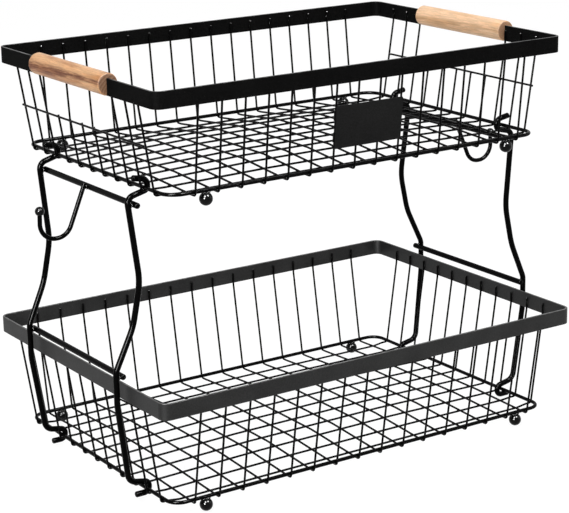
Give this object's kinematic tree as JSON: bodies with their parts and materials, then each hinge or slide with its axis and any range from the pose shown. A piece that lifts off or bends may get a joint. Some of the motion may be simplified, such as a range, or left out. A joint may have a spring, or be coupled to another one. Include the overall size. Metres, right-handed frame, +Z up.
{
  "type": "tiered wire basket",
  "caption": "Wire mesh baskets in two tiers, joined by bent rod side frames with hooks; flat rim bands, wooden grips, ball feet and a blank label plate.",
  "frame": {"origin": "on the floor under the middle of the rack", "axes": "+X along the long side towards the right, +Y towards the back, +Z up"},
  "size_m": [0.4828, 0.2886, 0.3527],
  "materials": {
    "black_wire": "satin black powder coat",
    "black_band": "satin black powder coat on flat strip",
    "black_rod": "satin black powder coat",
    "label_black": "matt black coated sheet",
    "beech": "oiled turned beech",
    "black_ball": "gloss black powder coat"
  },
  "bodies": {
    "lower_basket": {"lower_rim_band": "black_band", "lower_base_ring": "black_wire", "lower_cross_wires": "black_wire", "lower_long_wires": "black_wire", "lower_ball_feet": "black_ball"},
    "upper_basket": {"upper_rim_band": "black_band", "upper_base_ring": "black_wire", "upper_cross_wires": "black_wire", "upper_long_wires": "black_wire", "upper_short_wires": "black_wire", "left_opening_wire": "black_wire", "right_opening_wire": "black_wire", "upper_ball_feet": "black_ball", "left_handle_grip": "beech", "right_handle_grip": "beech"},
    "left_frame": {"left_front_rod": "black_rod", "left_rear_rod": "black_rod", "left_upper_crossbar": "black_rod", "left_lower_crossbar": "black_rod", "left_hanging_hook": "black_rod", "left_hook_ball": "black_ball"},
    "right_frame": {"right_front_rod": "black_rod", "right_rear_rod": "black_rod", "right_upper_crossbar": "black_rod", "right_lower_crossbar": "black_rod", "right_hanging_hook": "black_rod", "right_hook_ball": "black_ball"},
    "label": {"label_plate": "label_black", "label_clips": "label_black"}
  },
  "joints": [
    {"name": "upper_basket_lift", "type": "slide", "parent": "lower_basket", "child": "upper_basket", "axis": [0, 0, 1], "range_m": [0, 0.3]},
    {"name": "left_frame_swing", "type": "hinge", "parent": "lower_basket", "child": "left_frame", "pos_m": [-0.1926, 0, 0.0119], "axis": [0, -1, 0], "range_deg": [-2, 65]},
    {"name": "right_frame_swing", "type": "hinge", "parent": "lower_basket", "child": "right_frame", "pos_m": [0.1926, 0, 0.0119], "axis": [0, 1, 0], "range_deg": [-2, 65]},
    {"name": "label_slide", "type": "slide", "parent": "upper_basket", "child": "label", "axis": [0, -0.1083, 0.9941], "range_m": [-0.012, 0.013]}
  ]
}
